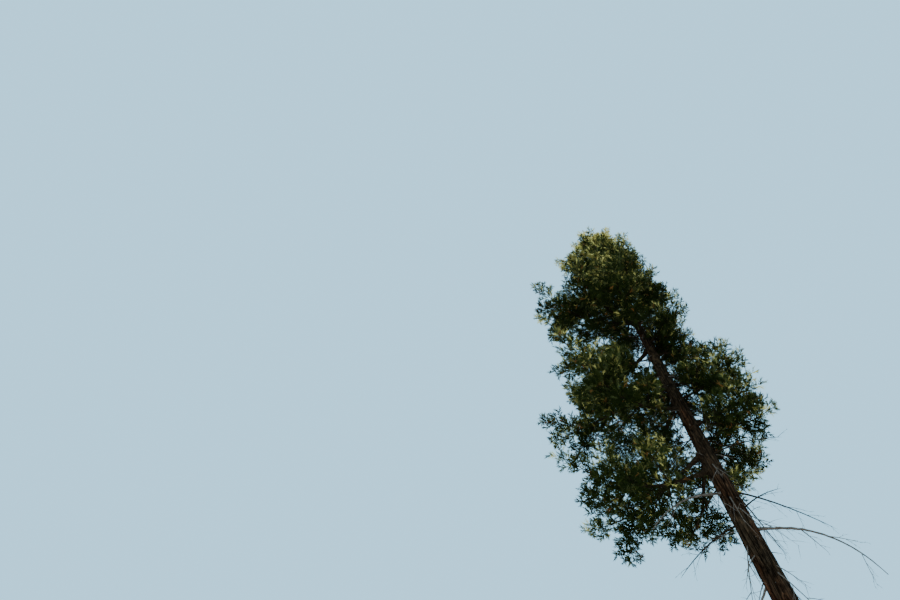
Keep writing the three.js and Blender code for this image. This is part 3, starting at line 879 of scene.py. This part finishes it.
def limb_mesh(limb, random):
    """One limb from inside the trunk to its tip, with a collar at its foot and knobbly bark."""
    share = np.linspace(LIMB_START, 1, LIMB_STEPS)
    side, top = frames_across(limb.heading(share))
    out = limb.reach * share / trunk_radius(limb.height)
    collar = COLLAR_SIZE * np.exp(-np.maximum(out - COLLAR_FROM, 0) * COLLAR_FADE)
    radius = limb.radius(share) * (1 + collar)
    knobs = 1 + LIMB_KNOBS * random.uniform(-1, 1, (LIMB_STEPS, LIMB_SIDES))
    turn = TAU * np.arange(LIMB_SIDES) / LIMB_SIDES
    ring = side[:, None] * np.cos(turn)[None, :, None] + top[:, None] * np.sin(turn)[None, :, None]
    waver = random.normal(0, LIMB_WAVER, (LIMB_STEPS, 3)) * limb.radius(share)[:, None]
    points = (limb.point(share) + waver)[:, None] + ring * (radius[:, None] * knobs)[..., None]
    points = np.concatenate([points.reshape(-1, 3), limb.point(1 + TIP_POINT * limb.tip_radius)[None]])
    return points, ring_faces(LIMB_STEPS, LIMB_SIDES, tip=True)


def inner_twigs(limb, random):
    """Bare dead twigs on the shaded inner part of a limb."""
    share = random.uniform(*INNER_PLACES, INNER_TWIGS)
    forward = limb.heading(share)
    side, top = frames_across(forward)
    roll = random.uniform(0, TAU, INNER_TWIGS)
    direction = wound(forward, side, top, random.uniform(*INNER_SPREAD, INNER_TWIGS), roll)
    length = random.uniform(*INNER_LENGTH, INNER_TWIGS)
    owners = np.full(INNER_TWIGS, limb.index)
    return Shoots(limb.point(share), direction, side, length, radius_for(length, INNER_RADIUS), owners)


def twigs_on(parents, spacing, spread, length_share, bend, random):
    """Finer bare twigs along bare ones."""
    which, along, start, direction = side_shoots(parents, spacing, FINER_PLACES, spread, random)
    side, _ = frames_across(direction)
    length = parents.length[which] * length_share * (1 - FINER_NARROWING * along)
    length = length * random.uniform(*FINER_LENGTH_SPREAD, len(which))
    radius = radius_for(length, FINER_RADIUS)
    return Shoots(start, direction, side, length, radius, parents.limb[which], bend)


def bare_wood(shoots, detail, orders, random):
    """Meshes of bare twigs and of each finer order that they carry."""
    parts = [wood_mesh(shoots, *detail)]
    for spacing, spread, length_share, bend, finer_detail in orders:
        shoots = twigs_on(shoots, spacing, spread, length_share, bend, random)
        parts.append(wood_mesh(shoots, *finer_detail))
    return parts


def dead_side_twigs(limb):
    """The source's three side twigs of a dead limb."""
    random = seeded(DEAD_TWIG_SEED + limb.index)
    grown = []
    for k, along in enumerate(middles(DEAD_TWIGS)):
        share = within(DEAD_TWIG_PLACES, along)
        hand = (k % 2) * 2 - 1
        forward = limb.heading(share)
        side = frames_across(forward)[0][0]
        direction = forward + side * hand * within(DEAD_TWIG_SPREAD, random())
        direction[2] += DEAD_TWIG_DROOP
        radius = limb.radius(share) * DEAD_TWIG_RADIUS
        length = limb.reach * DEAD_TWIG_LENGTH
        grown.append(single_shoot(limb.point(share), unit(direction), 0, length, radius, limb.index))
    return grown


def scattered(span, count, random):
    """Values spread evenly over a span, each moved by chance within its own step."""
    return within(span, (np.arange(count) + random.uniform(0, 1, count)) / count)


def trunk_stubs(random):
    """Broken stubs and fine dead twigs left on the bare trunk, most of them short."""
    height = scattered(STUB_HEIGHTS, STUBS, random)
    length = within(STUB_LENGTH, random.uniform(0, 1, STUBS)**2)
    radius = STUB_RADIUS * random.uniform(*STUB_RADIUS_SPREAD, STUBS)
    azimuth = np.arange(STUBS) * GOLDEN_ANGLE
    return from_trunk(height, azimuth, random.uniform(*STUB_SLOPE, STUBS), length, radius, STUB_BEND)


def near_twigs(random):
    """Long pale dead twigs that hang over the near side of the bare trunk."""
    height = scattered(NEAR_TWIG_HEIGHTS, NEAR_TWIGS, random)
    azimuth = NEAR_AZIMUTH + random.uniform(-NEAR_TWIG_TURN, NEAR_TWIG_TURN, NEAR_TWIGS)
    length = random.uniform(*NEAR_TWIG_LENGTH, NEAR_TWIGS)
    slope = random.uniform(*NEAR_TWIG_SLOPE, NEAR_TWIGS)
    return from_trunk(height, azimuth, slope, length, radius_for(length, NEAR_TWIG_RADIUS), NEAR_TWIG_BEND)


def hanging_boughs(random):
    """Bare boughs that hang from the trunk among the lower masses, shorter on the near side."""
    height = scattered(HANGING_HEIGHTS, HANGING, random)
    azimuth = FIRST_DEAD_AZIMUTH + np.arange(HANGING) * GOLDEN_ANGLE
    shortened = between(1, HANGING_NEAR_SHARE, side_shares(azimuth)[2])
    length = within(HANGING_LENGTH, random.uniform(0, 1, HANGING)) * shortened
    slope = random.uniform(*HANGING_SLOPE, HANGING)
    return from_trunk(height, azimuth, slope, length, radius_for(length, HANGING_RADIUS), HANGING_BEND)


def make_piece(name, mesh_data, material, nodes=(), flat=False, relief=None):
    """One mesh object from points and triangles, riding on the tree."""
    points, faces = mesh_data
    mesh = bpy.data.meshes.new(name)
    mesh.vertices.add(len(points))
    mesh.vertices.foreach_set("co", np.asarray(points, np.float32).ravel())
    mesh.loops.add(faces.size)
    mesh.loops.foreach_set("vertex_index", np.asarray(faces, np.int32).ravel())
    mesh.polygons.add(len(faces))
    mesh.polygons.foreach_set("loop_start", np.arange(0, faces.size, 3, dtype=np.int32))
    mesh.update(calc_edges=True)
    if flat:
        mesh.shade_flat()
    else:
        mesh.shade_smooth()
    if relief is not None:
        attribute = mesh.attributes.new("relief", "FLOAT", "POINT")
        attribute.data.foreach_set("value", np.asarray(relief, np.float32))
    mesh.materials.append(material)
    made = bpy.data.objects.new(name, mesh)
    bpy.context.scene.collection.objects.link(made)
    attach(made, "root")
    if nodes:
        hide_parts(*nodes)
    return made


class Shader:
    """A material's nodes, added and linked by short calls."""

    def __init__(self, name, roughness):
        self.material = bpy.data.materials.new(name)
        self.material.use_nodes = True
        self.nodes = self.material.node_tree.nodes
        self.links = self.material.node_tree.links
        self.surface = self.nodes["Principled BSDF"]
        self.surface.inputs["Roughness"].default_value = roughness
        self.surface.inputs["Specular IOR Level"].default_value = DULL_GLOSS
        self.place = self.nodes.new("ShaderNodeTexCoord").outputs["Object"]

    def stretched(self, scale):
        mapping = self.nodes.new("ShaderNodeMapping")
        mapping.inputs["Scale"].default_value = scale
        self.links.new(self.place, mapping.inputs["Vector"])
        return mapping.outputs["Vector"]

    def noise(self, scale, detail, distortion=0.0, stretch=(1, 1, 1)):
        noise = self.nodes.new("ShaderNodeTexNoise")
        noise.inputs["Scale"].default_value = scale
        noise.inputs["Detail"].default_value = detail
        noise.inputs["Distortion"].default_value = distortion
        self.links.new(self.stretched(stretch), noise.inputs["Vector"])
        return noise.outputs["Fac"]

    def attribute(self, name):
        attribute = self.nodes.new("ShaderNodeAttribute")
        attribute.attribute_name = name
        return attribute.outputs["Fac"]

    def ramp(self, factor, stops):
        ramp = self.nodes.new("ShaderNodeValToRGB")
        elements = ramp.color_ramp.elements
        while len(elements) < len(stops):
            elements.new(position=0.5)
        for element, (position, colour) in zip(elements, stops):
            element.position = position
            element.color = (*colour, 1)
        self.links.new(factor, ramp.inputs["Fac"])
        return ramp.outputs["Color"]

    def multiplied(self, first, second):
        mix = self.nodes.new("ShaderNodeMix")
        mix.data_type = "RGBA"
        mix.blend_type = "MULTIPLY"
        mix.inputs["Factor"].default_value = 1
        self.links.new(first, mix.inputs["A"])
        self.links.new(second, mix.inputs["B"])
        return mix.outputs["Result"]

    def height_of(self, *layers):
        """Relief from layers of grey, each of which lowers what it darkens."""
        height = layers[0]
        for layer in layers[1:]:
            product = self.nodes.new("ShaderNodeMath")
            product.operation = "MULTIPLY"
            self.links.new(height, product.inputs[0])
            self.links.new(layer, product.inputs[1])
            height = product.outputs[0]
        return height

    def bump(self, height, distance, strength=1.0):
        bump = self.nodes.new("ShaderNodeBump")
        bump.inputs["Distance"].default_value = distance
        bump.inputs["Strength"].default_value = strength
        self.links.new(height, bump.inputs["Height"])
        self.links.new(bump.outputs["Normal"], self.surface.inputs["Normal"])

    def colour(self, colour):
        self.links.new(colour, self.surface.inputs["Base Color"])


def bark_material():
    """Furrowed bark: painted shade in its furrows, dark cracks, warm brown on the ridges, in redder
    patches, and painted shade over it all.
    """
    shader = Shader("sequoia_bark", BARK_ROUGHNESS)
    fibres = shader.noise(*BARK_FIBRES)
    grain = shader.ramp(fibres, FIBRE_RAMP)
    split = shader.ramp(shader.noise(*BARK_CRACKS), CRACK_RAMP)
    scaly = shader.ramp(shader.noise(*BARK_FLAKES), FLAKE_RAMP)
    tone = shader.ramp(shader.noise(*BARK_PATCHES), PATCH_RAMP)
    # Painted shade: the furrows darker by their relief, and the whole bark darker than its own brown.
    colour = shader.ramp(shader.attribute("relief"), FURROW_SHADE_RAMP)
    for layer in (grain, split, scaly, tone):
        colour = shader.multiplied(colour, layer)
    shader.colour(colour)
    shader.bump(shader.height_of(fibres, split, scaly), BARK_BUMP)
    return shader.material


def bough_material():
    """Dark scaly bark of the boughs and their twigs."""
    shader = Shader("bough_bark", BOUGH_ROUGHNESS)
    flakes = shader.noise(*BOUGH_FLAKES)
    shader.colour(shader.ramp(flakes, BOUGH_RAMP))
    shader.bump(flakes, BOUGH_BUMP)
    return shader.material


def dead_wood_material():
    """Grey weathered wood that has lost its bark."""
    shader = Shader("dead_wood", DEAD_ROUGHNESS)
    grain = shader.noise(*DEAD_GRAIN)
    shader.colour(shader.ramp(grain, DEAD_RAMP))
    shader.bump(grain, DEAD_BUMP)
    return shader.material


def leaf_material(name, colour):
    """Scale leaves of one tint, with a fine grain in their relief."""
    shader = Shader(name, LEAF_ROUGHNESS)
    shader.surface.inputs["Base Color"].default_value = (*colour, 1)
    shader.bump(shader.noise(*LEAF_GRAIN), LEAF_BUMP, LEAF_BUMP_STRENGTH)
    return shader.material


def deal_tints(sprays, limbs, random):
    """The tint of each spray: brown by chance, and the rest by rank from painted deep shade to painted
    sunlight.
    """
    middles = np.array([limb.point(MASS_MIDDLE) for limb in limbs])[sprays.limb]
    widths = np.array([limb.half_width() for limb in limbs])[sprays.limb]
    tips = sprays.tips()
    lit = (tips - middles) @ LIT_FROM / widths
    azimuth = np.arctan2(tips[:, 1], tips[:, 0])
    outward = np.hypot(tips[:, 0], tips[:, 1]) / crown_reach(tips[:, 2], azimuth)
    topmost = np.clip((tips[:, 2] - TOP_FROM) / (HEIGHT - TOP_FROM), 0, 1)
    tone = LIT_WEIGHT * lit + OUTWARD_WEIGHT * outward + TOP_WEIGHT * topmost
    tone = tone + random.normal(0, CHANCE_WEIGHT, len(sprays))
    rank = np.argsort(np.argsort(tone)) / len(sprays)
    shares = np.cumsum([share for _, _, share, _ in TINTS[:-1]])
    tint = np.searchsorted(shares / shares[-1], rank)
    brown = random.uniform(0, 1, len(sprays)) < TINTS[-1][2]
    return np.where(brown, len(TINTS) - 1, np.minimum(tint, len(TINTS) - 2))


def nodes_named(start):
    """The solids whose names start so."""
    return [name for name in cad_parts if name.startswith(start)]


def dress_trunk(material):
    points, faces, relief = trunk_mesh()
    make_piece("trunk_bark", (points, faces), material, ["trunk"], relief=relief)


def dress_boughs(limbs, material):
    random = np.random.default_rng(WOOD_SEED)
    wood = join_meshes([limb_mesh(limb, random) for limb in limbs])
    make_piece("bough_wood", wood, material, nodes_named("bough_"))
    inner = join_shoots([inner_twigs(limb, random) for limb in limbs], INNER_BEND)
    inner_parts = bare_wood(inner, INNER_DETAIL, INNER_ORDERS, random)
    make_piece("bare_inner_twigs", join_meshes(inner_parts), material)
    hanging_parts = bare_wood(hanging_boughs(random), HANGING_DETAIL, HANGING_ORDERS, random)
    make_piece("hanging_boughs", join_meshes(hanging_parts), material)


def dress_dead_wood(material):
    random = np.random.default_rng(DEAD_WOOD_SEED)
    limbs = [dead_limb(i) for i in range(DEAD_LIMBS)]
    twigs = join_shoots([twig for limb in limbs for twig in dead_side_twigs(limb)], DEAD_TWIG_BEND)
    parts = bare_wood(twigs, DEAD_TWIG_DETAIL, DEAD_ORDERS, random)
    parts += [limb_mesh(limb, random) for limb in limbs]
    make_piece("dead_limbs", join_meshes(parts), material, nodes_named("dead_limb_"))
    stubs = bare_wood(trunk_stubs(random), STUB_DETAIL, STUB_ORDERS, random)
    make_piece("trunk_stubs", join_meshes(stubs), material)
    near = bare_wood(near_twigs(random), NEAR_TWIG_DETAIL, NEAR_ORDERS, random)
    make_piece("near_dead_twigs", join_meshes(near), material)


def dress_foliage(limbs, twig_material):
    random = np.random.default_rng(FOLIAGE_SEED)
    names = nodes_named("foliage_")
    fillers = [filler_twigs(limb, random) for limb in limbs]
    twigs = join_shoots([twig for limb in limbs for twig in main_twigs(limb)] + fillers)
    twigs = twigs.pick(in_own_space(twigs.tips(), twigs.limb, limbs))
    twigs = join_shoots([twigs, trunk_shoots(limbs, random)])
    twiglets = grow_twiglets(twigs, limbs, random)
    shoots = [limb_shoots(limb, random) for limb in limbs]
    twiglets = join_shoots([twiglets, *shoots], bend=twiglets.bend)
    wood = join_meshes([wood_mesh(twigs, *TWIG_DETAIL), wood_mesh(twiglets, *TWIGLET_DETAIL)])
    make_piece("foliage_twigs", wood, twig_material, names)
    sprays = grow_sprays(twiglets, random)
    tint = deal_tints(sprays, limbs, random)
    per_spray = LEAF_FACES * (LEAVES + 1)
    # Lit and shaded copies of one leaf material, one for each tint; all but the brown carry painted light
    # and shade.
    for number, (name, colour, _, width) in enumerate(TINTS):
        material = leaf_material(name, colour)
        chosen = np.flatnonzero(tint == number)
        parts = max(math.ceil(len(chosen) * per_spray / PIECE_TRIANGLES), 1)
        for part, members in enumerate(np.array_split(chosen, parts)):
            kinds = grow_leaves(sprays.pick(members), width, random)
            leaves = join_meshes([leaf_mesh(kind) for kind in kinds])
            make_piece(f"{name}_{part + 1}", leaves, material, names, flat=True)


def add_floor():
    shader = Shader("pale_floor", FLOOR_ROUGHNESS)
    shader.colour(shader.ramp(shader.noise(*FLOOR_GRAIN), FLOOR_RAMP))
    bpy.ops.mesh.primitive_circle_add(vertices=FLOOR_SIDES, radius=FLOOR_RADIUS, fill_type="NGON")
    floor = bpy.context.object
    floor.name = "pale_floor"
    floor.data.materials.append(shader.material)


def add_light(name, towards, strength, softness, colour):
    """A soft distant lamp that shines from a direction."""
    lamp = bpy.data.lights.new(name, "SUN")
    lamp.energy = strength
    lamp.angle = math.radians(softness)
    lamp.color = colour
    placed = bpy.data.objects.new(name, lamp)
    bpy.context.scene.collection.objects.link(placed)
    back = unit(towards)
    side = frames_across(back)[0][0]
    placed.matrix_world = Matrix(np.column_stack([side, np.cross(back, side), back])).to_4x4()


def add_world():
    world = bpy.data.worlds.new("soft_surround")
    world.use_nodes = True
    background = world.node_tree.nodes["Background"]
    background.inputs["Color"].default_value = (*SURROUND_COLOUR, 1)
    background.inputs["Strength"].default_value = SURROUND_STRENGTH
    bpy.context.scene.world = world


def through_pixel(pixel):
    """Direction through a pixel of the photograph, in the camera's own axes."""
    return unit((pixel[0] - PHOTO_WIDTH / 2, PHOTO_HEIGHT / 2 - pixel[1], -FOCAL_PIXELS))


def add_camera():
    """The photograph's camera, turned so that the trunk and the upright lines meet overhead."""
    up = through_pixel(ZENITH_PIXEL)
    towards = through_pixel(TRUNK_PIXEL)
    ahead = unit(towards - up * (towards @ up))
    turn = Matrix(np.stack([np.cross(ahead, up), ahead, up]))
    data = bpy.data.cameras.new("photo_camera")
    data.lens = LENS_MM
    data.sensor_width = SENSOR_MM
    data.clip_end = FURTHEST_SEEN
    camera = bpy.data.objects.new("photo_camera", data)
    bpy.context.scene.collection.objects.link(camera)
    camera.matrix_world = Matrix.Translation((0, -CAMERA_DISTANCE, CAMERA_HEIGHT)) @ turn.to_4x4()
    bpy.context.scene.camera = camera


def build():
    limbs = [living_limb(i) for i in range(LIVE_LIMBS)]
    wood = bough_material()
    dress_trunk(bark_material())
    dress_boughs(limbs, wood)
    dress_dead_wood(dead_wood_material())
    dress_foliage(limbs, wood)
    add_floor()
    add_world()
    for lamp in LAMPS:
        add_light(*lamp)
    add_camera()


build()
